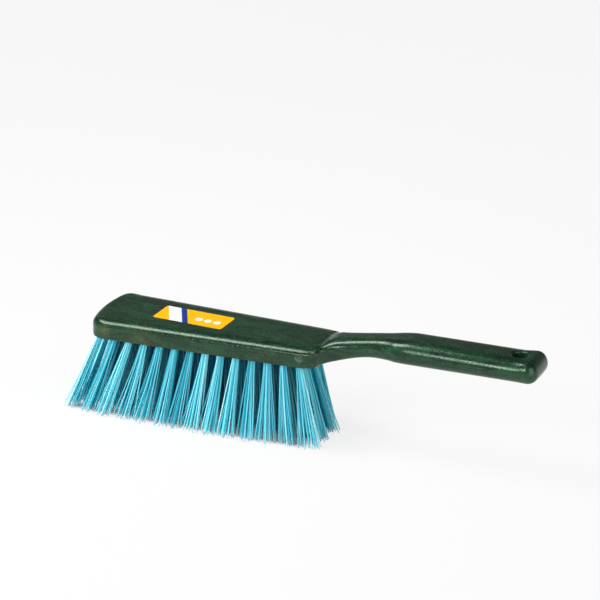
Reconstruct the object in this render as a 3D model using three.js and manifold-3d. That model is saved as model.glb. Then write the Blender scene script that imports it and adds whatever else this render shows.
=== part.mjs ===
// Hand brush for carpets. Millimetres, +Z up, +X from the toe of the block to the end of the handle.
// The block and the handle are one moulding. Each tuft is folded over a flat wire anchor in a blind hole.
import * as THREE from "three";
import { mergeVertices } from "three/addons/utils/BufferGeometryUtils.js";
import Module from "manifold-3d";

const wasm = await Module();
wasm.setup();

// Moulding: plan sizes
const OVERALL_LENGTH = 323;
const BLOCK_LENGTH = 166.6;
const TOE_WIDTH = 61.6;
const HEEL_WIDTH = 48;
const TOE_BOW = 2;
const TOE_CORNER_REACH = 11;
const SHOULDER_LENGTH = 7;
const NECK_LENGTH = 65.2;
const CREASE_LENGTH = 11.7;
const NECK_WIDTH = 23;
const GRIP_WIDTH = 31;
const END_WIDTH = 33;
const END_CORNER_RADIUS = 7.2;

// Pulls of the curves from the shoulders through the waist to the grip, as shares of the neck's length
const SHOULDER_PULL = 0.34;
const WAIST_PULL_IN = 0.68;
const WAIST_PULL_OUT = 0.41;
const GRIP_PULL = 0.3;

// Moulding: heights and edge roundings
const BRISTLE_LENGTH = 57;
const BLOCK_THICKNESS = 13.7;
const GRIP_THICKNESS = 16.3;
const END_THICKNESS = 15.4;
const GRIP_RISE = 9.65;
const CREASE_RISE = 2.9;
const NECK_ARCH_LEAD = 9.2;
const NECK_ARCH_LENGTH = 51;
const CREASE_EASE = 2;
const NECK_EASE = 1.15;
const TOP_EDGE_INSET = 9.4;
const TOP_EDGE_HEIGHT = 5;
const TOE_EDGE_INSET = 4;
const TOE_EDGE_BLEND = 18;
const BOTTOM_EDGE_RADIUS = 1.5;
const END_EDGE_RADIUS = 6.8;
const ROUNDING_LEAD = 2;
const ROUNDING_TRAIL = 20;
const END_BLEND = 10;

// Roundings of the handle, as shares of its half width and of its thickness
const TOP_ROUND_WIDTH = 0.62;
const TOP_ROUND_HEIGHT = 0.56;
const BOTTOM_ROUND_WIDTH = 0.46;
const BOTTOM_ROUND_HEIGHT = 0.43;

// Hanging hole
const HANGING_HOLE_DIAMETER = 9;
const HANGING_HOLE_FROM_END = 16.1;
const HANGING_RIM_RADIUS = 1.2;

// Tufts, their holes and their anchors
const TUFTS_IN_ROW = 14;
const TUFT_FROM_TOE = 7.5;
const TUFT_FROM_CREASE = 12.1;
const TUFT_FROM_SIDE = 9;
const TUFT_HOLE_DIAMETER = 5.2;
const HOLE_FLOOR = 5.5;
const ROW_SLICE_THICKNESS = 2.4;
const ROW_SLICE_WALL = 0.5;
const ANCHOR_BITE = 0.8;
const ANCHOR_HEIGHT = 1.6;
const ANCHOR_THICKNESS = 0.45;
const FOLD_THICKNESS = 1.2;
const FIT_CLEARANCE = 0.3;
const ANCHOR_CLEARANCE = 0.15;

// Strands: six to a tuft, each a three-sided prism from the block to the trimmed tip plane
const STRANDS_AROUND = 5;
const STRAND_RADIUS = 0.78;
const TUFT_SPREAD = 2.9;
const TOE_LEAN = -22;
const HEEL_LEAN = 8;
const SIDE_LEAN = 0.27;

// Sticker on the back of the block
const STICKER_LENGTH = 53;
const STICKER_WIDTH = 22.4;
const STICKER_CORNER = 2;
const STICKER_THICKNESS = 0.15;
const STICKER_FROM_TOE = 68.9;
const STICKER_OFFSET = 0.8;
const STICKER_TURN = THREE.MathUtils.degToRad(-2.8);

// Facets
const CURVE_STEPS = 8;
const SIDE_STEPS = 6;
const GRIP_STEPS = 4;
const TOP_EDGE_STEPS = 4;
const BOTTOM_EDGE_STEPS = 2;
const HOLE_SIDES = 6;
const HANGING_HOLE_SIDES = 20;

const blockTop = BRISTLE_LENGTH + BLOCK_THICKNESS;
const gripStart = BLOCK_LENGTH + NECK_LENGTH;
const gripEnd = OVERALL_LENGTH - END_CORNER_RADIUS;
const heelStart = BLOCK_LENGTH - SHOULDER_LENGTH;
const sideAt = (x) => THREE.MathUtils.mapLinear(x, 0, heelStart, TOE_WIDTH / 2, HEEL_WIDTH / 2);
const topRise = GRIP_RISE + GRIP_THICKNESS - BLOCK_THICKNESS;

const material = (color, roughness, metalness = 0) =>
  new THREE.MeshStandardMaterial({ color, roughness, metalness });

const mesh = (name, geometry, look) => {
  const made = new THREE.Mesh(geometry, look);
  made.name = name;
  return made;
};

// A geometry as a solid that can be joined and cut, and back
function solid(geometry) {
  const bare = geometry.clone();
  bare.deleteAttribute("normal");
  bare.deleteAttribute("uv");
  const merged = mergeVertices(bare, 1e-4);
  return new wasm.Manifold(
    new wasm.Mesh({
      numProp: 3,
      vertProperties: merged.attributes.position.array,
      triVerts: new Uint32Array(merged.index.array),
    }),
  );
}

function geometryOf(made) {
  const { numProp, vertProperties, triVerts } = made.getMesh();
  const interleaved = new THREE.InterleavedBuffer(vertProperties, numProp);
  const geometry = new THREE.BufferGeometry();
  geometry.setAttribute("position", new THREE.InterleavedBufferAttribute(interleaved, 3, 0));
  geometry.setIndex(new THREE.BufferAttribute(triVerts, 1));
  const plain = geometry.toNonIndexed();
  plain.computeVertexNormals();
  return plain;
}

// The closed surface through rings of points, each ring the same length and wound the same way
function loft(rings, capOf) {
  const count = rings[0].length;
  const index = [];
  for (let k = 0; k + 1 < rings.length; k++) {
    for (let i = 0; i < count; i++) {
      const j = (i + 1) % count;
      const low = k * count;
      const high = low + count;
      index.push(low + i, low + j, high + j);
      index.push(low + i, high + j, high + i);
    }
  }
  const last = (rings.length - 1) * count;
  for (const [a, b, c] of capOf(count)) {
    index.push(a, c, b);
    index.push(last + a, last + b, last + c);
  }
  const geometry = new THREE.BufferGeometry().setFromPoints(rings.flat());
  geometry.setIndex(index);
  return geometry;
}

const fanCap = (count) => {
  const faces = [];
  for (let i = 1; i + 1 < count; i++) faces.push([0, i, i + 1]);
  return faces;
};

// Rungs across a ring that is a mirror image about y = 0 and starts on it
const ladderCap = (count) => {
  const faces = [[0, 1, count - 1]];
  for (let i = 1; i < count / 2 - 1; i++) {
    faces.push([i, i + 1, count - i]);
    faces.push([i + 1, count - i - 1, count - i]);
  }
  faces.push([count / 2 - 1, count / 2, count / 2 + 1]);
  return faces;
};

// Half of the plan outline, from the middle of the toe round to the middle of the handle's end
function halfOutline() {
  const toe = TOE_WIDTH / 2;
  const neck = NECK_WIDTH / 2;
  const grip = GRIP_WIDTH / 2;
  const end = END_WIDTH / 2;
  const flat = toe - TOE_CORNER_REACH;
  const sideStart = 2 * TOE_BOW + TOE_CORNER_REACH;
  const waist = BLOCK_LENGTH + NECK_LENGTH / 2;
  const path = new THREE.Path();
  path.moveTo(0, 0);
  path.quadraticCurveTo(0, flat / 2, TOE_BOW, flat);
  path.quadraticCurveTo(2 * TOE_BOW, toe, sideStart, sideAt(sideStart));
  for (let i = 1; i <= SIDE_STEPS; i++) {
    const x = THREE.MathUtils.lerp(sideStart, heelStart, i / SIDE_STEPS);
    path.lineTo(x, sideAt(x));
  }
  const shoulder = heelStart + NECK_LENGTH * SHOULDER_PULL;
  const into = waist - NECK_LENGTH * WAIST_PULL_IN;
  const outOf = waist + NECK_LENGTH * WAIST_PULL_OUT;
  const toGrip = gripStart - NECK_LENGTH * GRIP_PULL;
  path.bezierCurveTo(shoulder, sideAt(shoulder), into, neck, waist, neck);
  path.bezierCurveTo(outOf, neck, toGrip, grip, gripStart, grip);
  for (let i = 1; i < GRIP_STEPS; i++) {
    const x = THREE.MathUtils.lerp(gripStart, gripEnd, i / GRIP_STEPS);
    path.lineTo(x, THREE.MathUtils.mapLinear(x, gripStart, gripEnd, grip, end));
  }
  path.absarc(gripEnd, end - END_CORNER_RADIUS, END_CORNER_RADIUS, Math.PI / 2, 0, true);
  path.lineTo(OVERALL_LENGTH, 0);
  return path.getPoints(CURVE_STEPS);
}

// Side profile: the top kinks up at the crease, the underside sweeps up to the grip and on to the thinner end
const archStart = BLOCK_LENGTH - NECK_ARCH_LEAD;
const undersideAt = (x) =>
  BRISTLE_LENGTH +
  GRIP_RISE * THREE.MathUtils.smoothstep(x, archStart, archStart + NECK_ARCH_LENGTH) +
  (GRIP_THICKNESS - END_THICKNESS) * THREE.MathUtils.clamp((x - gripStart) / (gripEnd - gripStart), 0, 1);
const climb = (x, length, power) =>
  1 - (1 - THREE.MathUtils.clamp((x - BLOCK_LENGTH) / length, 0, 1)) ** power;
const topAt = (x) =>
  blockTop +
  CREASE_RISE * climb(x, CREASE_LENGTH, CREASE_EASE) +
  (topRise - CREASE_RISE) * climb(x, NECK_LENGTH, NECK_EASE);

// How far an edge is rounded inwards and in height: tight at the toe, wide on the block, oval on the handle
function roundingAt(x, y, edge) {
  const side = THREE.MathUtils.smoothstep(x, 0, TOE_EDGE_BLEND);
  const handle = THREE.MathUtils.smoothstep(x, heelStart - ROUNDING_LEAD, gripStart - ROUNDING_TRAIL);
  const end = THREE.MathUtils.smoothstep(x, gripEnd - END_BLEND, gripEnd);
  const block = THREE.MathUtils.lerp(edge.toeInset, edge.inset, side);
  const oval = THREE.MathUtils.lerp(block, edge.widthShare * Math.abs(y), handle);
  const thickness = topAt(x) - undersideAt(x);
  return {
    inset: THREE.MathUtils.lerp(oval, END_EDGE_RADIUS, end),
    height: THREE.MathUtils.lerp(edge.height, edge.heightShare * thickness, handle),
  };
}

const topEdge = {
  toeInset: TOE_EDGE_INSET,
  inset: TOP_EDGE_INSET,
  height: TOP_EDGE_HEIGHT,
  widthShare: TOP_ROUND_WIDTH,
  heightShare: TOP_ROUND_HEIGHT,
};
const bottomEdge = {
  toeInset: BOTTOM_EDGE_RADIUS,
  inset: BOTTOM_EDGE_RADIUS,
  height: BOTTOM_EDGE_RADIUS,
  widthShare: BOTTOM_ROUND_WIDTH,
  heightShare: BOTTOM_ROUND_HEIGHT,
};

function mouldingBlank() {
  const half = halfOutline();
  const far = half.slice(1, -1).reverse();
  const near = half.slice(1, -1).map((p) => new THREE.Vector2(p.x, -p.y));
  const outline = [half[0], ...near, half.at(-1), ...far];
  const count = outline.length;
  const inward = outline.map((p, i) => {
    const before = outline[(i + count - 1) % count];
    const after = outline[(i + 1) % count];
    const a = new THREE.Vector2().subVectors(p, before).normalize();
    const b = new THREE.Vector2().subVectors(after, p).normalize();
    const along = a.add(b).normalize();
    return new THREE.Vector2(-along.y, along.x);
  });
  const ring = (heightAt, edge, angle, sign) =>
    outline.map((p, i) => {
      const { inset, height } = roundingAt(p.x, p.y, edge);
      const q = p.clone().addScaledVector(inward[i], inset * (1 - Math.cos(angle)));
      return new THREE.Vector3(q.x, q.y, heightAt(q.x) + sign * height * (1 - Math.sin(angle)));
    });
  const rings = [];
  for (let k = 0; k <= BOTTOM_EDGE_STEPS; k++) {
    const angle = (Math.PI / 2) * (1 - k / BOTTOM_EDGE_STEPS);
    rings.push(ring(undersideAt, bottomEdge, angle, 1));
  }
  for (let k = 0; k <= TOP_EDGE_STEPS; k++) {
    const angle = (Math.PI / 2) * (k / TOP_EDGE_STEPS);
    rings.push(ring(topAt, topEdge, angle, -1));
  }
  return solid(loft(rings, ladderCap));
}

// The tool that cuts the hanging hole, flared at both faces so that the rims come out round
function hangingHoleTool() {
  const x = OVERALL_LENGTH - HANGING_HOLE_FROM_END;
  const bottom = undersideAt(x);
  const top = topAt(x);
  const radius = HANGING_HOLE_DIAMETER / 2;
  const profile = new THREE.Path();
  profile.moveTo(0, bottom - 1);
  profile.lineTo(radius + HANGING_RIM_RADIUS, bottom - 1);
  profile.lineTo(radius + HANGING_RIM_RADIUS, bottom);
  profile.quadraticCurveTo(radius, bottom, radius, bottom + HANGING_RIM_RADIUS);
  profile.lineTo(radius, top - HANGING_RIM_RADIUS);
  profile.quadraticCurveTo(radius, top, radius + HANGING_RIM_RADIUS, top);
  profile.lineTo(radius + HANGING_RIM_RADIUS, top + 1);
  profile.lineTo(0, top + 1);
  const tool = new THREE.LatheGeometry(profile.getPoints(3), HANGING_HOLE_SIDES);
  tool.rotateX(Math.PI / 2);
  tool.translate(x, 0, 0);
  return solid(tool);
}

// A bar with round ends between two places in plan, from one height to another
function bar(from, to, width, bottom, top) {
  const along = to.clone().sub(from);
  const radius = width / 2;
  const shape = new THREE.Shape();
  shape.absarc(along.length(), 0, radius, -Math.PI / 2, Math.PI / 2);
  shape.absarc(0, 0, radius, Math.PI / 2, (3 * Math.PI) / 2);
  const upwards = { depth: top - bottom, bevelEnabled: false, curveSegments: 4 };
  const geometry = new THREE.ExtrudeGeometry(shape, upwards);
  return geometry.rotateZ(along.angle()).translate(from.x, from.y, bottom);
}

function upright(radius, sides, x, bottom, top) {
  const post = new THREE.CylinderGeometry(radius, radius, top - bottom, sides);
  return post.rotateX(Math.PI / 2).rotateZ(Math.PI / sides).translate(x, 0, (bottom + top) / 2);
}

const holeDepth = BLOCK_THICKNESS - HOLE_FLOOR;
const plugTop = holeDepth - FIT_CLEARANCE;
const plugRadius = TUFT_HOLE_DIAMETER / 2 - FIT_CLEARANCE;
const sliceWidth = TUFT_HOLE_DIAMETER + 2 * ROW_SLICE_WALL;
const anchorLength = TUFT_HOLE_DIAMETER + 2 * ANCHOR_BITE;
const anchorMiddle = plugTop - FOLD_THICKNESS - ANCHOR_HEIGHT / 2;

const anchorBlank = (x, grow) =>
  new THREE.BoxGeometry(anchorLength + 2 * grow, ANCHOR_THICKNESS + 2 * grow, ANCHOR_HEIGHT + 2 * grow)
    .translate(x, 0, anchorMiddle);

// One row of tufts in its own frame: x along the row, z = 0 on the underside of the block
function rowOf(name, side, share) {
  const acrossAt = (x) => side * share * (sideAt(x) - TUFT_FROM_SIDE);
  const last = BLOCK_LENGTH - TUFT_FROM_CREASE;
  const start = new THREE.Vector2(TUFT_FROM_TOE, acrossAt(TUFT_FROM_TOE));
  const end = new THREE.Vector2(last, acrossAt(last));
  const frame = new THREE.Group();
  frame.position.set(start.x, start.y, BRISTLE_LENGTH);
  frame.rotation.z = end.clone().sub(start).angle();
  frame.updateMatrix();
  const length = start.distanceTo(end);
  const places = Array.from({ length: TUFTS_IN_ROW }, (_, i) => (length * i) / (TUFTS_IN_ROW - 1));
  return { name, side, start, end, frame, length, places, acrossAt };
}

const inRow = (row, geometry) => solid(geometry.applyMatrix4(row.frame.matrix));

// The slice of the block's underside that holds both rows of a half: a bar along each, one across each end
function sliceBars([outer, inner], grow) {
  const width = sliceWidth + 2 * grow;
  const bottom = BRISTLE_LENGTH - grow;
  const top = BRISTLE_LENGTH + ROW_SLICE_THICKNESS + grow;
  const runs = [
    [outer.start, outer.end],
    [inner.start, inner.end],
    [outer.start, inner.start],
    [outer.end, inner.end],
  ];
  return runs.map(([from, to]) => solid(bar(from, to, width, bottom, top)));
}

function halfCut(rows) {
  const tools = sliceBars(rows, FIT_CLEARANCE);
  for (const row of rows) {
    for (const x of row.places) {
      tools.push(inRow(row, upright(TUFT_HOLE_DIAMETER / 2, HOLE_SIDES, x, 0, holeDepth)));
      tools.push(inRow(row, anchorBlank(x, ANCHOR_CLEARANCE)));
    }
  }
  return wasm.Manifold.union(tools);
}

// A strand fans out from its tuft, leans with its place on the block and ends flat on the tip plane
function strand(row, x, angle, reach) {
  const along = THREE.MathUtils.clamp(x / row.length, 0, 1);
  const lean = THREE.MathUtils.lerp(TOE_LEAN, HEEL_LEAN, along);
  const outward = row.acrossAt(TUFT_FROM_TOE + x) * SIDE_LEAN;
  const turn = row.side * angle;
  const ring = (cx, cy, z) => {
    const points = [];
    for (let i = 0; i < 3; i++) {
      const a = turn + (i * 2 * Math.PI) / 3;
      const px = cx + STRAND_RADIUS * Math.cos(a);
      const py = cy + STRAND_RADIUS * Math.sin(a);
      points.push(new THREE.Vector3(px, py, z));
    }
    return points;
  };
  const rx = reach * Math.cos(turn);
  const ry = reach * Math.sin(turn);
  const tip = ring(x + lean + TUFT_SPREAD * rx, outward + TUFT_SPREAD * ry, -BRISTLE_LENGTH);
  const root = ring(x + rx, ry, ROW_SLICE_THICKNESS / 2);
  return loft([tip, root], fanCap);
}

function bristleHalf(rows) {
  const pieces = sliceBars(rows, 0);
  const tunnels = [];
  const ringReach = plugRadius - STRAND_RADIUS;
  for (const row of rows) {
    for (const x of row.places) {
      pieces.push(inRow(row, upright(plugRadius, HOLE_SIDES, x, ROW_SLICE_THICKNESS / 2, plugTop)));
      tunnels.push(inRow(row, anchorBlank(x, ANCHOR_CLEARANCE)));
      pieces.push(inRow(row, strand(row, x, 0, 0)));
      for (let k = 0; k < STRANDS_AROUND; k++) {
        pieces.push(inRow(row, strand(row, x, (2 * Math.PI * k) / STRANDS_AROUND, ringReach)));
      }
    }
  }
  return geometryOf(wasm.Manifold.union(pieces).subtract(wasm.Manifold.union(tunnels)));
}

function sticker() {
  const x = STICKER_LENGTH / 2;
  const y = STICKER_WIDTH / 2;
  const r = STICKER_CORNER;
  const shape = new THREE.Shape();
  shape.absarc(x - r, y - r, r, 0, Math.PI / 2);
  shape.absarc(r - x, y - r, r, Math.PI / 2, Math.PI);
  shape.absarc(r - x, r - y, r, Math.PI, 1.5 * Math.PI);
  shape.absarc(x - r, r - y, r, 1.5 * Math.PI, 2 * Math.PI);
  const flat = { depth: STICKER_THICKNESS, bevelEnabled: false, curveSegments: 3 };
  const geometry = new THREE.ExtrudeGeometry(shape, flat);
  geometry.rotateZ(STICKER_TURN);
  return geometry.translate(STICKER_FROM_TOE, STICKER_OFFSET, blockTop);
}

const green = material(0x0f4a35, 0.42);
const blue = material(0x86c5dc, 0.5);
const steel = material(0x9a9da0, 0.35, 1);
const yellow = material(0xe8c81c, 0.45);

const halves = {
  front: [rowOf("front_outer", -1, 1), rowOf("front_inner", -1, 1 / 3)],
  back: [rowOf("back_outer", 1, 1), rowOf("back_inner", 1, 1 / 3)],
};

let body = mouldingBlank().subtract(hangingHoleTool());
for (const rows of Object.values(halves)) body = body.subtract(halfCut(rows));

const assembly = new THREE.Group();
assembly.add(mesh("block_and_handle", geometryOf(body), green));
assembly.add(mesh("sticker", sticker(), yellow.clone()));
for (const [name, rows] of Object.entries(halves)) {
  assembly.add(mesh("bristles_" + name, bristleHalf(rows), blue.clone()));
  for (const row of rows) {
    row.places.forEach((x, i) => {
      const number = String(i + 1).padStart(2, "0");
      row.frame.add(mesh("anchor_" + row.name + "_" + number, anchorBlank(x, 0), steel.clone()));
    });
    assembly.add(row.frame);
  }
}

// The frame's origin is under the middle of the whole brush, on the plane of the bristle tips
const box = new THREE.Box3().setFromObject(assembly, true);
const middle = box.getCenter(new THREE.Vector3());
assembly.position.set(-middle.x, -middle.y, -box.min.z);

const brush = new THREE.Group();
brush.name = "carpet_brush";
brush.add(assembly);

export default brush;
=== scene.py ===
"""Looks of the carpet brush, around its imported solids. Sizes are in millimetres until they meet Blender."""
import math
import random

import bpy
from mathutils import Matrix, Vector


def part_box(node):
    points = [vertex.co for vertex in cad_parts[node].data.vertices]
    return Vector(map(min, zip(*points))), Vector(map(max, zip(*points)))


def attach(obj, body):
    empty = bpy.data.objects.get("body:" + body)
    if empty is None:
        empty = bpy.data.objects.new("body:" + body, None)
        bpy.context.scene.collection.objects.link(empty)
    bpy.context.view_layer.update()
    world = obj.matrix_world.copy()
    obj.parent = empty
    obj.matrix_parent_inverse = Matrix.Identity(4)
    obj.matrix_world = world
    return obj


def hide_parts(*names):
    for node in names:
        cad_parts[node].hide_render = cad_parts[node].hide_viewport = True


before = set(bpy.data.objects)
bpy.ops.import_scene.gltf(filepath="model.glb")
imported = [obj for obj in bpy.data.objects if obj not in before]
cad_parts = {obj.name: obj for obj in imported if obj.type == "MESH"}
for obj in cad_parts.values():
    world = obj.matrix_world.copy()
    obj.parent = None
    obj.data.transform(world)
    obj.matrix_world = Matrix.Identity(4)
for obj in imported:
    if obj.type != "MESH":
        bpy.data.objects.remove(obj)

MM = 0.001
QUARTER_TURN = math.pi / 2
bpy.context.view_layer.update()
TOE_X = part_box("block_and_handle")[0].x / MM

# Moulding, as in the solids
OVERALL_LENGTH = 323
BLOCK_LENGTH = 166.6
TOE_WIDTH = 61.6
HEEL_WIDTH = 48
TOE_BOW = 2
TOE_CORNER_REACH = 11
SHOULDER_LENGTH = 7
NECK_LENGTH = 65.2
CREASE_LENGTH = 11.7
NECK_WIDTH = 23
GRIP_WIDTH = 31
END_WIDTH = 33
END_CORNER_RADIUS = 7.2
SHOULDER_PULL = 0.34
WAIST_PULL_IN = 0.68
WAIST_PULL_OUT = 0.41
GRIP_PULL = 0.3
BRISTLE_LENGTH = 57
BLOCK_THICKNESS = 13.7
GRIP_THICKNESS = 16.3
END_THICKNESS = 15.4
GRIP_RISE = 9.65
CREASE_RISE = 2.9
NECK_ARCH_LEAD = 9.2
NECK_ARCH_LENGTH = 51
NECK_EASE = 1.15
TOP_EDGE_INSET = 9.4
TOP_EDGE_HEIGHT = 5
TOE_EDGE_INSET = 4
TOE_EDGE_BLEND = 18
BOTTOM_EDGE_RADIUS = 1.5
END_EDGE_RADIUS = 6.8
ROUNDING_LEAD = 2
ROUNDING_TRAIL = 20
END_BLEND = 10
TOP_ROUND_WIDTH, TOP_ROUND_HEIGHT = 0.62, 0.56
BOTTOM_ROUND_WIDTH, BOTTOM_ROUND_HEIGHT = 0.46, 0.43
HANGING_HOLE_FROM_END = 16.1

# Moulding, where it departs from the solids
END_BOW = 0.2
CREASE_EASE = 1.5
CREASE_FILLET = 1.2
SHOULDER_TIGHTEN = 0.56
SHOULDER_HOLD = 3.7
SHOULDER_FADE = 5.7
HANGING_HOLE_DIAMETER = 10.6
HANGING_RIM_RADIUS = 1.5

# Steps along the stretches of the outline, from the toe to the end of the grip
TOE_STEPS = 16
TOE_CORNER_STEPS = 20
SIDE_STEPS = 60
SHOULDER_STEPS = 110
WAIST_STEPS = 36
GRIP_STEPS = 40
END_CORNER_STEPS = 16
END_STEPS = 8

# Facets of the moulding and of its holes
BOTTOM_RINGS = 8
TOP_RINGS = 14
CAP_COLUMNS = 12
SHARP_ANGLE = math.radians(50)
HANGING_HOLE_SIDES = 48
HANGING_RIM_STEPS = 6
HANGING_HOLE_OVERCUT = 2
TUFT_HOLE_SIDES = 20
TUFT_HOLE_OVERCUT = 1
TUFT_HOLE_CONE = 0.8

# Tufts, as in the solids
TUFTS_IN_ROW = 14
TUFT_FROM_TOE = 7.5
TUFT_FROM_CREASE = 12.1
TUFT_FROM_SIDE = 9
TUFT_HOLE_DIAMETER = 5.2
HOLE_FLOOR = 5.5
OUTER_ROW, INNER_ROW = 1, 1 / 3

# Fans of the tufts, along and across the brush
FAN_ALONG = 8
FAN_ACROSS = 5
FAN_OPENING = (1.2, 1.4)
FAN_EVENNESS = 0.5
FAN_SCATTER_ALONG = 0.1
FAN_SCATTER_ACROSS = 0.5
FAN_REACH = (0.85, 1.15)
TOE_FAN_REACH = 0.8
CLUMP_COUNTS = (2, 3, 3, 4)
CLUMP_PULL = 0.2
STRAY_SHARE = 0.05
STRAY_REACH = 3

# Leans of the tufts along the brush, one for each tuft or from the first to the last
FRONT_LEANS = (-23, -20, -18, -14, -12, -9, -9, -7, -5.5, -3.5, 0.5, 2.5, 6.5, 13)
BACK_LEANS = (-21, 5)
INNER_LEANS = (-21, 12)
LEAN_SCATTER = 1.6

# Line of the outer tips: its distance from the middle, and the rounding of its ends
TIP_LINE = 29
TIP_LINE_ROUNDING = 5
TOE_ROUNDING_END = 0.15
HEEL_ROUNDING_START = 0.7
TIP_LINE_SCATTER = 0.8

# Filaments
OUTER_FILAMENTS = 23
INNER_FILAMENTS = 36
FILAMENT_RADIUS = 0.48
FILAMENT_SIDES = 6
FILAMENT_DEPTH = 5
FILAMENT_STEPS = (0, 0.1, 0.25, 0.42, 0.6, 0.78, 0.94, 1)
FILAMENT_BEND = (0.9, 1.0)
FILAMENT_BOW = 0.35
TIP_SHRINK = 0.7
TIP_GAP = 0.1
TIP_UNEVENNESS = 1.3
TONE_POWER = 0.8
BRISTLE_SEED = 40

# Worn specks on the moulding: place from the toe, radius, strength and colour
SCUFFS = (
    ((15.5, -30, 63.5), 7, 0.8, (0.15, 0.095, 0.045, 1)),
    ((42, -29, 61), 16, 0.4, (0.14, 0.12, 0.05, 1)),
    ((158, -24, 64), 4, 0.5, (0.34, 0.42, 0.31, 1)),
)

# Sticker, as in the solids
STICKER_FROM_TOE = 68.9
STICKER_OFFSET = 0.8
STICKER_TURN = math.radians(-2.8)

# Motif of the sticker, from its middle
BAND_SLANT = 0.55
WHITE_BAND_START = -19.5
BLUE_BAND_START = -9.5
BLUE_BAND_END = -5
DOT_PLACES = ((5, -2), (12, -2), (19, -2))
DOT_RADIUS = 2.7
PRINT_SOFTNESS = 0.12

# Camera at the photograph's viewing angle, its place from the toe
AZIMUTH, ELEVATION = math.radians(23.076), math.radians(21.994)
CAMERA_PLACE = (877.99, -1711.34, 848.01)
LENS_PIXELS, IMAGE_PIXELS = 2960.8, 600
SENSOR_WIDTH = 36
CLIP_METRES = 30

# Light: the places that the lamps face, from the toe, and the strength of the world
BLOCK_EDGE = (105, -25, 68)
GRIP_EDGE = (275, -12, 80)
BRUSH_MIDDLE = (150, 0, 60)
WORLD_STRENGTH = 0.06

# Floor, with the footprint of the bristles and the width of their shadow round it, where its glow is turned
# down for a painted shade
FLOOR_REACH = 5000
FOOTPRINT_MIDDLE = (72, 0, 0)
FOOTPRINT_HALF = (86, 22, 1000)
CONTACT_SHADOW = 8
SOFT_SHADOW = 80

# Wall, and the heights between which its glow fades
WALL_RADIUS = 4800
WALL_HEIGHT = 2400
WALL_SIDES = 64
WALL_FADE_START, WALL_FADE_END = 500, 1400

block_top = BRISTLE_LENGTH + BLOCK_THICKNESS
grip_start = BLOCK_LENGTH + NECK_LENGTH
grip_end = OVERALL_LENGTH - END_CORNER_RADIUS
heel_start = BLOCK_LENGTH - SHOULDER_LENGTH
arch_start = BLOCK_LENGTH - NECK_ARCH_LEAD
top_rise = GRIP_RISE + GRIP_THICKNESS - BLOCK_THICKNESS


def lerp(a, b, t):
    return a + (b - a) * t


def smoothstep(x, low, high):
    t = min(max((x - low) / (high - low), 0), 1)
    return t * t * (3 - 2 * t)


def from_toe(place):
    """A place that is given from the toe, in Blender's frame."""
    x, y, z = place
    return Vector((x + TOE_X, y, z)) * MM


def side_at(x):
    return lerp(TOE_WIDTH, HEEL_WIDTH, x / heel_start) / 2


def underside_at(x):
    sweep = GRIP_RISE * smoothstep(x, arch_start, arch_start + NECK_ARCH_LENGTH)
    along_grip = min(max((x - grip_start) / (grip_end - grip_start), 0), 1)
    return BRISTLE_LENGTH + sweep + (GRIP_THICKNESS - END_THICKNESS) * along_grip


def climb(x, length, ease):
    """The share of a rise that is reached at x, past the filleted crease at the end of the block."""
    past = x - BLOCK_LENGTH
    rounded = (past + math.hypot(past, CREASE_FILLET)) / 2
    return 1 - (1 - min(rounded / length, 1)) ** ease


def top_at(x):
    crease = CREASE_RISE * climb(x, CREASE_LENGTH, CREASE_EASE)
    return block_top + crease + (top_rise - CREASE_RISE) * climb(x, NECK_LENGTH, NECK_EASE)


def rounding_at(x, y, toe_inset, side_inset, height, width_share, height_share):
    """How far an edge is rounded, inwards and in height: tight at the toe and oval on the handle."""
    handle = smoothstep(x, heel_start - ROUNDING_LEAD, grip_start - ROUNDING_TRAIL)
    end = smoothstep(x, grip_end - END_BLEND, grip_end)
    block = lerp(toe_inset, side_inset, smoothstep(x, 0, TOE_EDGE_BLEND))
    oval = lerp(block, width_share * abs(y), handle)
    oval_height = height_share * (top_at(x) - underside_at(x))
    return lerp(oval, END_EDGE_RADIUS, end), lerp(height, oval_height, handle)


def slide_at(x):
    """The share of an inset that is taken lengthways: at the shoulder all of it would fold the top."""
    fade = BLOCK_LENGTH + SHOULDER_HOLD
    shoulder = smoothstep(x, heel_start, BLOCK_LENGTH) * (1 - smoothstep(x, fade, fade + SHOULDER_FADE))
    return 1 - SHOULDER_TIGHTEN * shoulder


def curve(points, steps):
    """Points after the first along the Bezier curve of these control points."""
    made = []
    for k in range(1, steps + 1):
        level = [Vector(p) for p in points]
        while len(level) > 1:
            level = [a.lerp(b, k / steps) for a, b in zip(level, level[1:])]
        made.append(tuple(level[0]))
    return made


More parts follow.
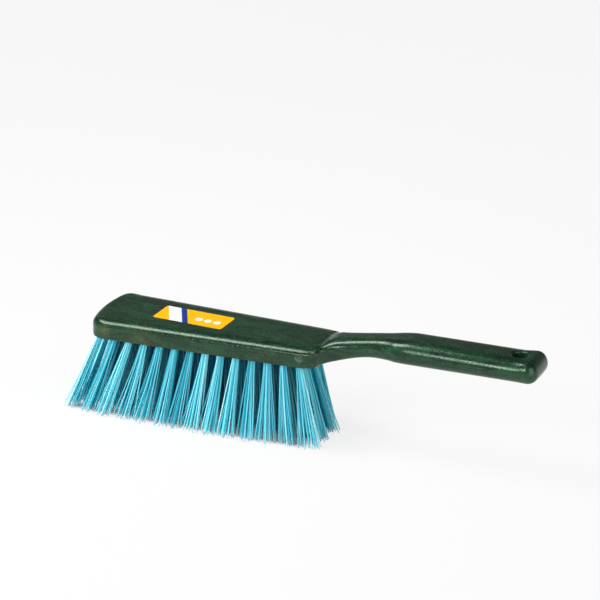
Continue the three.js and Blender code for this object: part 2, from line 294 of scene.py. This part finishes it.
def half_outline():
    """One side of the moulding seen from above, from the middle of the toe to the middle of the end."""
    toe, neck, grip, tail = TOE_WIDTH / 2, NECK_WIDTH / 2, GRIP_WIDTH / 2, END_WIDTH / 2
    flat = toe - TOE_CORNER_REACH
    side_start = 2 * TOE_BOW + TOE_CORNER_REACH
    waist = BLOCK_LENGTH + NECK_LENGTH / 2
    shoulder = heel_start + NECK_LENGTH * SHOULDER_PULL
    into = waist - NECK_LENGTH * WAIST_PULL_IN
    out_of = waist + NECK_LENGTH * WAIST_PULL_OUT
    to_grip = grip_start - NECK_LENGTH * GRIP_PULL
    corner = END_CORNER_RADIUS
    end = OVERALL_LENGTH - END_BOW
    heel = (heel_start, side_at(heel_start))
    side = (side_start, side_at(side_start))
    path = [(0, 0)]
    path += curve([(0, 0), (0, flat / 2), (TOE_BOW, flat)], TOE_STEPS)
    path += curve([(TOE_BOW, flat), (2 * TOE_BOW, toe), side], TOE_CORNER_STEPS)
    path += curve([side, heel], SIDE_STEPS)
    path += curve([heel, (shoulder, side_at(shoulder)), (into, neck), (waist, neck)], SHOULDER_STEPS)
    path += curve([(waist, neck), (out_of, neck), (to_grip, grip), (grip_start, grip)], WAIST_STEPS)
    path += curve([(grip_start, grip), (end - corner, tail)], GRIP_STEPS)
    for k in range(1, END_CORNER_STEPS + 1):
        turn = QUARTER_TURN * (1 - k / END_CORNER_STEPS)
        path.append((end - corner * (1 - math.cos(turn)), tail - corner * (1 - math.sin(turn))))
    path += curve([path[-1], (OVERALL_LENGTH, path[-1][1] / 2), (OVERALL_LENGTH, 0)], END_STEPS)
    return path


def inward_directions(outline):
    made = []
    for i, point in enumerate(outline):
        here = Vector(point)
        before = (here - Vector(outline[i - 1])).normalized()
        after = (Vector(outline[(i + 1) % len(outline)]) - here).normalized()
        along = (before + after).normalized()
        made.append((-along.y, along.x))
    return made


def new_object(name, vertices, faces):
    mesh = bpy.data.meshes.new(name)
    mesh.from_pydata([((x + TOE_X) * MM, y * MM, z * MM) for x, y, z in vertices], [], faces)
    mesh.validate()
    mesh.polygons.foreach_set("use_smooth", [True] * len(mesh.polygons))
    made = bpy.data.objects.new(name, mesh)
    bpy.context.scene.collection.objects.link(made)
    return made


def edge_ring(outline, inward, height_at, rounding, angle, sign):
    """The outline, drawn in and raised or lowered as far as an edge's rounding goes at this angle."""
    points = []
    for (x, y), (nx, ny) in zip(outline, inward):
        inset, height = rounding_at(x, y, *rounding)
        reach = inset * (1 - math.cos(angle))
        z = height_at(x + nx * reach) + sign * height * (1 - math.sin(angle))
        points.append((x + nx * reach * slide_at(x), y + ny * reach, z))
    return points


def add_cap(vertices, base, count, middle):
    """Faces that close a ring of the moulding, in rows from its near side to its far side."""
    rows = []
    for i in range(1, middle):
        near, far = base + i, base + count - i
        a, b = Vector(vertices[near]), Vector(vertices[far])
        row = [near]
        for c in range(1, CAP_COLUMNS):
            row.append(len(vertices))
            vertices.append(tuple(a.lerp(b, c / CAP_COLUMNS)))
        rows.append(row + [far])
    cap = []
    for c in range(CAP_COLUMNS):
        cap.append((base, rows[0][c], rows[0][c + 1]))
        cap.append((rows[-1][c], base + middle, rows[-1][c + 1]))
        for low, high in zip(rows, rows[1:]):
            cap.append((low[c], high[c], high[c + 1], low[c + 1]))
    return cap


def moulding():
    """The block and handle as one closed surface: rings round the outline and gridded caps."""
    half = half_outline()
    near = [(x, -y) for x, y in half[1:-1]]
    outline = [half[0]] + near + [half[-1]] + half[-2:0:-1]
    inward = inward_directions(outline)
    count, middle = len(outline), len(half) - 1
    bottom = (BOTTOM_EDGE_RADIUS,) * 3 + (BOTTOM_ROUND_WIDTH, BOTTOM_ROUND_HEIGHT)
    top = (TOE_EDGE_INSET, TOP_EDGE_INSET, TOP_EDGE_HEIGHT, TOP_ROUND_WIDTH, TOP_ROUND_HEIGHT)
    rings = []
    for k in range(BOTTOM_RINGS + 1):
        angle = QUARTER_TURN * (1 - k / BOTTOM_RINGS)
        rings.append(edge_ring(outline, inward, underside_at, bottom, angle, 1))
    for k in range(TOP_RINGS + 1):
        angle = QUARTER_TURN * k / TOP_RINGS
        rings.append(edge_ring(outline, inward, top_at, top, angle, -1))
    vertices = [p for r in rings for p in r]
    faces = []
    for k in range(len(rings) - 1):
        low, high = k * count, (k + 1) * count
        for i in range(count):
            j = (i + 1) % count
            faces.append((low + i, low + j, high + j, high + i))
    top_ring = len(vertices) - count
    faces += [face[::-1] for face in add_cap(vertices, 0, count, middle)]
    faces += add_cap(vertices, top_ring, count, middle)
    return new_object("moulding", vertices, faces)


def turned(places, profile, sides):
    """A closed turned shape at each place. Its profile of radii and heights ends on the axis."""
    vertices, faces = [], []
    for cx, cy in places:
        first = len(vertices)
        vertices.append((cx, cy, profile[0][1]))
        for radius, height in profile[1:-1]:
            for s in range(sides):
                turn = 2 * math.pi * s / sides
                vertices.append((cx + radius * math.cos(turn), cy + radius * math.sin(turn), height))
        vertices.append((cx, cy, profile[-1][1]))
        last = len(vertices) - 1
        for s in range(sides):
            n = (s + 1) % sides
            faces.append((first, first + 1 + n, first + 1 + s))
            for k in range(len(profile) - 3):
                low = first + 1 + k * sides
                faces.append((low + s, low + n, low + sides + n, low + sides + s))
            top = last - sides
            faces.append((top + s, top + n, last))
    return vertices, faces


def hanging_hole_tool():
    x = OVERALL_LENGTH - HANGING_HOLE_FROM_END
    bottom, top = underside_at(x), top_at(x)
    radius = HANGING_HOLE_DIAMETER / 2
    rim = HANGING_RIM_RADIUS
    low, high = bottom - HANGING_HOLE_OVERCUT, top + HANGING_HOLE_OVERCUT
    profile = [(0, low), (radius + rim, low)]
    for k in range(HANGING_RIM_STEPS + 1):
        turn = QUARTER_TURN * k / HANGING_RIM_STEPS
        profile.append((radius + rim * (1 - math.sin(turn)), bottom + rim * (1 - math.cos(turn))))
    for k in range(HANGING_RIM_STEPS + 1):
        turn = QUARTER_TURN * (1 - k / HANGING_RIM_STEPS)
        profile.append((radius + rim * (1 - math.sin(turn)), top - rim * (1 - math.cos(turn))))
    profile += [(radius + rim, high), (0, high)]
    return new_object("hanging_hole_tool", *turned([(x, 0)], profile, HANGING_HOLE_SIDES))


def row_places(side, share):
    """Places of a row of tufts, on the near side (-1) or far side (1), by its share of the outer offset."""
    pitch = (BLOCK_LENGTH - TUFT_FROM_CREASE - TUFT_FROM_TOE) / (TUFTS_IN_ROW - 1)
    places = []
    for i in range(TUFTS_IN_ROW):
        x = TUFT_FROM_TOE + i * pitch
        places.append((x, side * share * (side_at(x) - TUFT_FROM_SIDE)))
    return places


def tuft_hole_tool(rows):
    radius = TUFT_HOLE_DIAMETER / 2
    floor = block_top - HOLE_FLOOR
    low = BRISTLE_LENGTH - TUFT_HOLE_OVERCUT
    profile = [(0, low), (radius, low), (radius, floor - TUFT_HOLE_CONE), (0, floor)]
    places = [place for row in rows for place in row]
    return new_object("tuft_hole_tool", *turned(places, profile, TUFT_HOLE_SIDES))


def cut(piece, *tools):
    """Take the tools out of a piece, and shade what is left evenly."""
    for tool in tools:
        bpy.context.view_layer.update()
        boolean = piece.modifiers.new("cut", "BOOLEAN")
        boolean.operation = "DIFFERENCE"
        boolean.solver = "EXACT"
        boolean.object = tool
        whole = bpy.context.evaluated_depsgraph_get()
        made = bpy.data.meshes.new_from_object(piece.evaluated_get(whole))
        piece.modifiers.clear()
        piece.data = made
        bpy.data.objects.remove(tool)
    piece.data.set_sharp_from_angle(angle=SHARP_ANGLE)
    weighted = piece.modifiers.new("even_shading", "WEIGHTED_NORMAL")
    weighted.keep_sharp = True


def tuft(rng, root, lean, reach, count, inner_shade_mark, out):
    """Filaments from one hole, fanned and split into clumps, as rings of points."""
    clumps = [rng.uniform(-1, 1) for _ in range(rng.choice(CLUMP_COUNTS))]
    pull = rng.uniform(0, CLUMP_PULL)
    phase = rng.uniform(0, 2 * math.pi)
    hole = TUFT_HOLE_DIAMETER / 2 - FILAMENT_RADIUS
    golden = 3 - math.sqrt(5)
    for k in range(count):
        r = math.sqrt((k + 0.5) / count)
        turn = phase + k * math.pi * golden
        u, v = r * math.cos(turn), r * math.sin(turn)
        spread = math.asin(u) / QUARTER_TURN
        clump = min(clumps, key=lambda c: abs(c - spread))
        along = lerp(lerp(u, spread, FAN_EVENNESS), clump, pull) + rng.gauss(0, FAN_SCATTER_ALONG)
        stray = rng.gauss(0, STRAY_REACH) if rng.random() < STRAY_SHARE else 0
        dx = lean[0] + FAN_ALONG * reach * along + stray
        dy = lean[1] + FAN_ACROSS * v + rng.gauss(0, FAN_SCATTER_ACROSS)
        bend = rng.uniform(*FILAMENT_BEND)
        opening = rng.uniform(*FAN_OPENING)
        bow = rng.gauss(0, FILAMENT_BOW)
        tip = TIP_GAP + TIP_UNEVENNESS * rng.random() ** 2
        tone = rng.random() ** TONE_POWER
        x0, y0 = root[0] + hole * u, root[1] + hole * v
        rings = [(x0, y0, BRISTLE_LENGTH + FILAMENT_DEPTH, 1, 0)]
        for t in FILAMENT_STEPS:
            go = bend * t + (1 - bend) * t * t
            fan = t ** opening
            x = x0 + lean[0] * go + (dx - lean[0] - hole * u) * fan + bow * math.sin(math.pi * t)
            y = y0 + lean[1] * go + (dy - lean[1] - hole * v) * fan
            rings.append((x, y, lerp(BRISTLE_LENGTH, tip, t), 1 if t < 1 else TIP_SHRINK, t))
        out.append((tone, inner_shade_mark, rings))


def tuft_row(rng, places, side, share, leans, out):
    """One row of tufts, whose tips end along a line that is straight but for its rounded ends."""
    last = len(places) - 1
    count = OUTER_FILAMENTS if share == OUTER_ROW else INNER_FILAMENTS
    for i, place in enumerate(places):
        along = i / last
        reach = rng.uniform(*FAN_REACH) * (1 if i > 0 else TOE_FAN_REACH)
        lean = leans[i] if len(leans) > 2 else lerp(*leans, along) + rng.gauss(0, LEAN_SCATTER)
        at_toe = 1 - smoothstep(along, 0, TOE_ROUNDING_END)
        at_heel = smoothstep(along, HEEL_ROUNDING_START, 1)
        line = TIP_LINE - TIP_LINE_ROUNDING * at_toe - TIP_LINE_ROUNDING * at_heel
        outward = side * (line * share + rng.uniform(-TIP_LINE_SCATTER, TIP_LINE_SCATTER)) - place[1]
        # Inner tufts between the ends of a row are marked for painted shade towards their roots
        inner_shade_mark = 1 if share < OUTER_ROW and 0 < i < last else 0
        tuft(rng, place, (lean, outward), reach, count, inner_shade_mark, out)


def filaments(name, strands):
    """One mesh of all these strands, with each one's tone, way along and mark for painted root shade as a
    colour.
    """
    sides = FILAMENT_SIDES
    vertices, faces, marks = [], [], []
    for tone, inner_shade_mark, rings in strands:
        first = len(vertices)
        for x, y, z, scale, t in rings:
            r = FILAMENT_RADIUS * scale
            for s in range(sides):
                turn = 2 * math.pi * s / sides
                vertices.append((x + r * math.cos(turn), y + r * math.sin(turn), z))
                marks += (tone, t, inner_shade_mark, 1)
        for k in range(len(rings) - 1):
            high, low = first + k * sides, first + (k + 1) * sides
            for s in range(sides):
                n = (s + 1) % sides
                faces.append((low + s, low + n, high + n, high + s))
        last = first + (len(rings) - 1) * sides
        faces.append(tuple(last + s for s in reversed(range(sides))))
        faces.append(tuple(first + s for s in range(sides)))
    made = new_object(name, vertices, faces)
    layer = made.data.color_attributes.new("strand", "FLOAT_COLOR", "POINT")
    layer.data.foreach_set("color", marks)
    return made


class Look:
    """A material's node graph, written in few words."""

    def __init__(self, name):
        self.material = bpy.data.materials.new(name)
        self.material.use_nodes = True
        self.tree = self.material.node_tree
        self.shader = self.tree.nodes["Principled BSDF"]
        self.surface = self.tree.nodes["Material Output"].inputs["Surface"]

    def node(self, kind, inputs=(), **settings):
        made = self.tree.nodes.new(kind)
        for key, value in settings.items():
            setattr(made, key, value)
        for key, value in dict(inputs).items():
            self.put(made.inputs[key], value)
        return made

    def put(self, socket, value):
        if isinstance(value, bpy.types.NodeSocket):
            self.tree.links.new(value, socket)
        else:
            socket.default_value = value

    def set(self, **values):
        for key, value in values.items():
            self.put(self.shader.inputs[key.replace("_", " ")], value)

    def math(self, operation, a, b=0.0):
        return self.node("ShaderNodeMath", {0: a, 1: b}, operation=operation).outputs[0]

    def vector(self, operation, a, b=(0, 0, 0)):
        return self.node("ShaderNodeVectorMath", {0: a, 1: b}, operation=operation).outputs

    def mix(self, factor, a, b):
        return self.node("ShaderNodeMix", {0: factor, 6: a, 7: b}, data_type="RGBA").outputs[2]

    def ramp(self, value, low, high, to_low=0.0, to_high=1.0):
        inputs = {0: value, 1: low, 2: high, 3: to_low, 4: to_high}
        return self.node("ShaderNodeMapRange", inputs, interpolation_type="SMOOTHSTEP").outputs[0]

    def here(self):
        return self.node("ShaderNodeTexCoord").outputs["Object"]

    def place(self, scale=(1, 1, 1), shift=(0, 0, 0), turn=0.0, kind="POINT"):
        inputs = {"Vector": self.here(), "Scale": scale, "Location": shift, "Rotation": (0, 0, turn)}
        return self.node("ShaderNodeMapping", inputs, vector_type=kind).outputs[0]

    def noise(self, at, scale, detail=3.0, rough=0.55, distortion=0.0):
        inputs = {"Vector": at, "Scale": scale, "Detail": detail}
        inputs.update({"Roughness": rough, "Distortion": distortion})
        return self.node("ShaderNodeTexNoise", inputs).outputs["Fac"]

    def bump(self, height, strength, distance):
        inputs = {"Height": height, "Strength": strength, "Distance": distance}
        self.set(Normal=self.node("ShaderNodeBump", inputs).outputs[0])

    def blend(self, share, first, second):
        return self.node("ShaderNodeMixShader", {0: share, 1: first, 2: second}).outputs[0]


def plastic_look():
    look = Look("marbled_plastic")
    at = look.place()
    flow = look.place(scale=(0.32, 1, 1))
    dark = (0.004, 0.017, 0.008, 1)
    green = (0.011, 0.058, 0.025, 1)
    clouded = (0.005, 0.031, 0.015, 1)
    fleck = (0.105, 0.155, 0.080, 1)
    pit = (0.002, 0.008, 0.004, 1)
    marble = look.noise(flow, 95, detail=6, rough=0.62, distortion=1.4)
    cloud = look.noise(flow, 28, detail=3, rough=0.5, distortion=0.6)
    grain = look.noise(at, 900, detail=2, rough=0.6)
    pits = look.noise(at, 1250, detail=2, rough=0.6)
    color = look.mix(look.ramp(marble, 0.38, 0.7), dark, green)
    color = look.mix(look.ramp(cloud, 0.35, 0.75, to_low=0, to_high=0.4), color, clouded)
    color = look.mix(look.ramp(grain, 0.57, 0.77, to_low=0, to_high=0.55), color, fleck)
    color = look.mix(look.ramp(pits, 0.3, 0.44, to_low=0.7, to_high=0), color, pit)
    specks = look.ramp(look.noise(at, 1100, detail=2), 0.46, 0.6)
    for place, radius, strength, worn in SCUFFS:
        away = look.vector("DISTANCE", at, from_toe(place))["Value"]
        near = look.ramp(away, 0, radius * MM, to_low=strength, to_high=0)
        color = look.mix(look.math("MULTIPLY", specks, near), color, worn)
    look.set(Base_Color=color, IOR=1.48, Specular_Tint=(0.82, 1.0, 0.82, 1))
    look.set(Roughness=look.ramp(look.noise(at, 420), 0.3, 0.75, to_low=0.19, to_high=0.30))
    waves = look.math("MULTIPLY", look.noise(at, 150, detail=2), 0.6)
    look.bump(look.math("ADD", look.noise(at, 700, detail=2), waves), strength=0.35, distance=0.00025)
    return look.material


def filament_look():
    look = Look("blue_filament")
    strand = look.node("ShaderNodeAttribute", attribute_name="strand").outputs["Color"]
    tone, along, inner_shade_mark = look.node("ShaderNodeSeparateColor", {"Color": strand}).outputs
    deep = (0.0, 0.29, 0.43, 1)
    light = (0.23, 0.88, 1.0, 1)
    # Pale: the brightest strands, picked at random, turn near white: their own tone and also a painted
    # highlight along them in place of the weak specular
    pale = (0.56, 0.97, 1.0, 1)
    worn = (0.72, 0.88, 0.93, 1)
    # Colour of the painted shade on the inner rows
    shaded = (0.0, 0.085, 0.15, 1)
    color = look.mix(tone, deep, light)
    color = look.mix(look.ramp(tone, 0.76, 1.0, to_low=0, to_high=0.85), color, pale)
    color = look.mix(look.ramp(along, 0.9, 1.0, to_low=0, to_high=0.45), color, worn)
    # Painted shade: strands of the inner rows darken towards their roots
    painted_root_shade = look.math("MULTIPLY", inner_shade_mark, look.ramp(along, 0.1, 0.95, to_low=0.8, to_high=0.2))
    color = look.mix(painted_root_shade, color, shaded)
    look.set(Base_Color=color, Roughness=0.28, IOR=1.5, Specular_IOR_Level=0.02)
    glow = look.node("ShaderNodeBsdfTranslucent", {"Color": color}).outputs[0]
    look.put(look.surface, look.blend(0.08, look.shader.outputs[0], glow))
    return look.material


def wire_look():
    look = Look("anchor_wire")
    grain = look.noise(look.place(scale=(0.2, 1, 1)), 4000, detail=2)
    dull = (0.5, 0.51, 0.52, 1)
    bright = (0.68, 0.68, 0.67, 1)
    look.set(Base_Color=look.mix(grain, dull, bright), Metallic=1.0)
    look.set(Roughness=look.ramp(grain, 0.2, 0.8, to_low=0.3, to_high=0.45))
    return look.material


def sticker_look():
    look = Look("printed_sticker")
    middle = from_toe((STICKER_FROM_TOE, STICKER_OFFSET, block_top))
    at = look.place((MM, MM, MM), middle, STICKER_TURN, "TEXTURE")
    x, y, _ = look.node("ShaderNodeSeparateXYZ", {"Vector": at}).outputs

    def above(value, edge):
        return look.ramp(value, edge - PRINT_SOFTNESS, edge + PRINT_SOFTNESS)

    def disc(cx, cy):
        dx, dy = look.math("SUBTRACT", x, cx), look.math("SUBTRACT", y, cy)
        squares = look.math("MULTIPLY", dx, dx), look.math("MULTIPLY", dy, dy)
        away = look.math("SQRT", look.math("ADD", *squares))
        return above(look.math("MULTIPLY", away, -1.0), -DOT_RADIUS)

    fibre = look.noise(look.place(), 2200)
    yellow = look.mix(fibre, (0.86, 0.41, 0.001, 1), (0.92, 0.46, 0.002, 1))
    white = (0.73, 0.73, 0.71, 1)
    blue = (0.012, 0.032, 0.22, 1)
    slant = look.math("ADD", x, look.math("MULTIPLY", y, BAND_SLANT))
    color = look.mix(above(slant, WHITE_BAND_START), yellow, white)
    color = look.mix(above(slant, BLUE_BAND_START), color, blue)
    color = look.mix(above(slant, BLUE_BAND_END), color, yellow)
    for cx, cy in DOT_PLACES:
        color = look.mix(disc(cx, cy), color, white)
    look.set(Base_Color=color, Roughness=0.42, IOR=1.5, Specular_IOR_Level=0.2)
    look.bump(fibre, strength=0.08, distance=0.00005)
    return look.material


def floor_look():
    """A white sweep that shines by itself where it is seen, but less under the bristles and around them: a
    painted shade there, over which the real shadow shows.
    """
    look = Look("floor")
    look.set(Base_Color=(0.7, 0.7, 0.7, 1), Roughness=0.9, Specular_IOR_Level=0.0)
    offset = look.vector("SUBTRACT", look.here(), from_toe(FOOTPRINT_MIDDLE))[0]
    past = look.vector("SUBTRACT", look.vector("ABSOLUTE", offset)[0], Vector(FOOTPRINT_HALF) * MM)[0]
    away = look.vector("LENGTH", look.vector("MAXIMUM", past)[0])["Value"]
    contact, soft = CONTACT_SHADOW * MM, SOFT_SHADOW * MM
    # Painted shade: the glow is least in the footprint, comes back over CONTACT_SHADOW, then rises a little
    # more over SOFT_SHADOW
    near_share = look.ramp(away, 0, contact, to_low=0.05, to_high=0.80)
    far_share = look.ramp(away, contact, soft, to_low=0, to_high=0.08)
    path = look.node("ShaderNodeLightPath").outputs
    seen = look.math("MAXIMUM", path["Is Camera Ray"], path["Is Glossy Ray"])
    seen = look.math("MAXIMUM", seen, path["Is Transmission Ray"])
    white = look.node("ShaderNodeEmission", {"Color": (1, 1, 1, 1), "Strength": 1.0}).outputs[0]
    share = look.math("MULTIPLY", seen, look.math("ADD", near_share, far_share))
    lit = look.blend(share, look.shader.outputs[0], white)
    below = look.node("ShaderNodeNewGeometry").outputs["Backfacing"]
    clear = look.node("ShaderNodeBsdfTransparent").outputs[0]
    look.put(look.surface, look.blend(below, lit, clear))
    return look.material


def wall_look():
    """Grey, with a glow that is stronger near the floor."""
    look = Look("wall")
    look.set(Base_Color=(0.35, 0.35, 0.35, 1), Roughness=0.9, Emission_Color=(1, 1, 1, 1))
    height = look.node("ShaderNodeSeparateXYZ", {"Vector": look.place()}).outputs["Z"]
    fade_start, fade_end = WALL_FADE_START * MM, WALL_FADE_END * MM
    look.set(Emission_Strength=look.ramp(height, fade_start, fade_end, to_low=0.32, to_high=0.05))
    return look.material


def paint(piece, material):
    piece.data.materials.clear()
    piece.data.materials.append(material)


def dress(piece, body, material, slot, *nodes):
    paint(piece, material)
    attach(piece, body)
    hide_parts(*nodes)


def lamp(name, at, toward, distance, width, height, power):
    """A soft box that faces a place on the brush, given from the toe, from some metres off."""
    made = bpy.data.objects.new(name, bpy.data.lights.new(name, "AREA"))
    made.data.shape = "RECTANGLE"
    made.data.size, made.data.size_y = width, height
    made.data.energy = power
    direction = Vector(toward).normalized()
    made.location = from_toe(at) + direction * distance
    made.rotation_euler = direction.to_track_quat("Z", "Y").to_euler()
    bpy.context.scene.collection.objects.link(made)
    return made


def camera_axes():
    """The camera's turn: its right, up and back as the columns of a matrix."""
    level = math.cos(ELEVATION)
    back = Vector((math.sin(AZIMUTH) * level, -math.cos(AZIMUTH) * level, math.sin(ELEVATION)))
    right = Vector((math.cos(AZIMUTH), math.sin(AZIMUTH), 0))
    return Matrix((right, back.cross(right), back)).transposed().to_4x4()


# Block and handle
halves = {"front": -1, "back": 1}
rows = {name: (row_places(side, OUTER_ROW), row_places(side, INNER_ROW)) for name, side in halves.items()}
body = moulding()
cut(body, hanging_hole_tool(), tuft_hole_tool(rows["front"] + rows["back"]))
dress(body, "root", plastic_look(), "block_plastic", "block_and_handle")

# Bristles
filament = filament_look()
rng = random.Random(BRISTLE_SEED)
for name, side in halves.items():
    outer, inner = rows[name]
    strands = []
    tuft_row(rng, outer, side, OUTER_ROW, FRONT_LEANS if name == "front" else BACK_LEANS, strands)
    tuft_row(rng, inner, side, INNER_ROW, INNER_LEANS, strands)
    half = filaments("tufts_" + name, strands)
    dress(half, "root", filament, "bristle_filament", "bristles_" + name)

# Anchors and sticker
wire = wire_look()
for name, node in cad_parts.items():
    if name.startswith("anchor_"):
        paint(node, wire)
paint(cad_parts["sticker"], sticker_look())

# Camera
camera = bpy.data.objects.new("camera", bpy.data.cameras.new("camera"))
bpy.context.scene.collection.objects.link(camera)
camera.matrix_world = Matrix.Translation(from_toe(CAMERA_PLACE)) @ camera_axes()
camera.data.sensor_fit = "HORIZONTAL"
camera.data.sensor_width = SENSOR_WIDTH
camera.data.lens = SENSOR_WIDTH * LENS_PIXELS / IMAGE_PIXELS
camera.data.clip_end = CLIP_METRES
bpy.context.scene.camera = camera

# Light
lamp("overhead", BLOCK_EDGE, (-0.385, 0.0, 0.92), distance=0.6, width=0.22, height=0.27, power=2.4)
lamp("strip", GRIP_EDGE, (-0.29, -0.78, 0.54), distance=0.9, width=0.14, height=0.24, power=2.3)
left = lamp("left", BRUSH_MIDDLE, (-0.84, -0.42, 0.30), distance=2.5, width=3.0, height=1.5, power=91)
left.visible_glossy = False
lamp("right", BRUSH_MIDDLE, (0.82, -0.44, 0.36), distance=2.5, width=2.4, height=2.0, power=36)
world = bpy.data.worlds.new("studio")
world.use_nodes = True
world.node_tree.nodes["Background"].inputs["Color"].default_value = (1, 1, 1, 1)
world.node_tree.nodes["Background"].inputs["Strength"].default_value = WORLD_STRENGTH
bpy.context.scene.world = world

# Floor
corners = [(x * FLOOR_REACH, y * FLOOR_REACH, 0) for x, y in ((-1, -1), (1, -1), (1, 1), (-1, 1))]
floor = new_object("floor", corners, [(0, 1, 2, 3)])
paint(floor, floor_look())

# A low pale wall all round, past the floor that the camera sees
wall_points, wall_faces = [], []
for z in (0, WALL_HEIGHT):
    for k in range(WALL_SIDES):
        turn = 2 * math.pi * k / WALL_SIDES
        wall_points.append((WALL_RADIUS * math.cos(turn), WALL_RADIUS * math.sin(turn), z))
for k in range(WALL_SIDES):
    n = (k + 1) % WALL_SIDES
    wall_faces.append((k, n, WALL_SIDES + n, WALL_SIDES + k))
wall = new_object("wall", wall_points, wall_faces)
paint(wall, wall_look())

bpy.context.scene.view_settings.view_transform = "Standard"
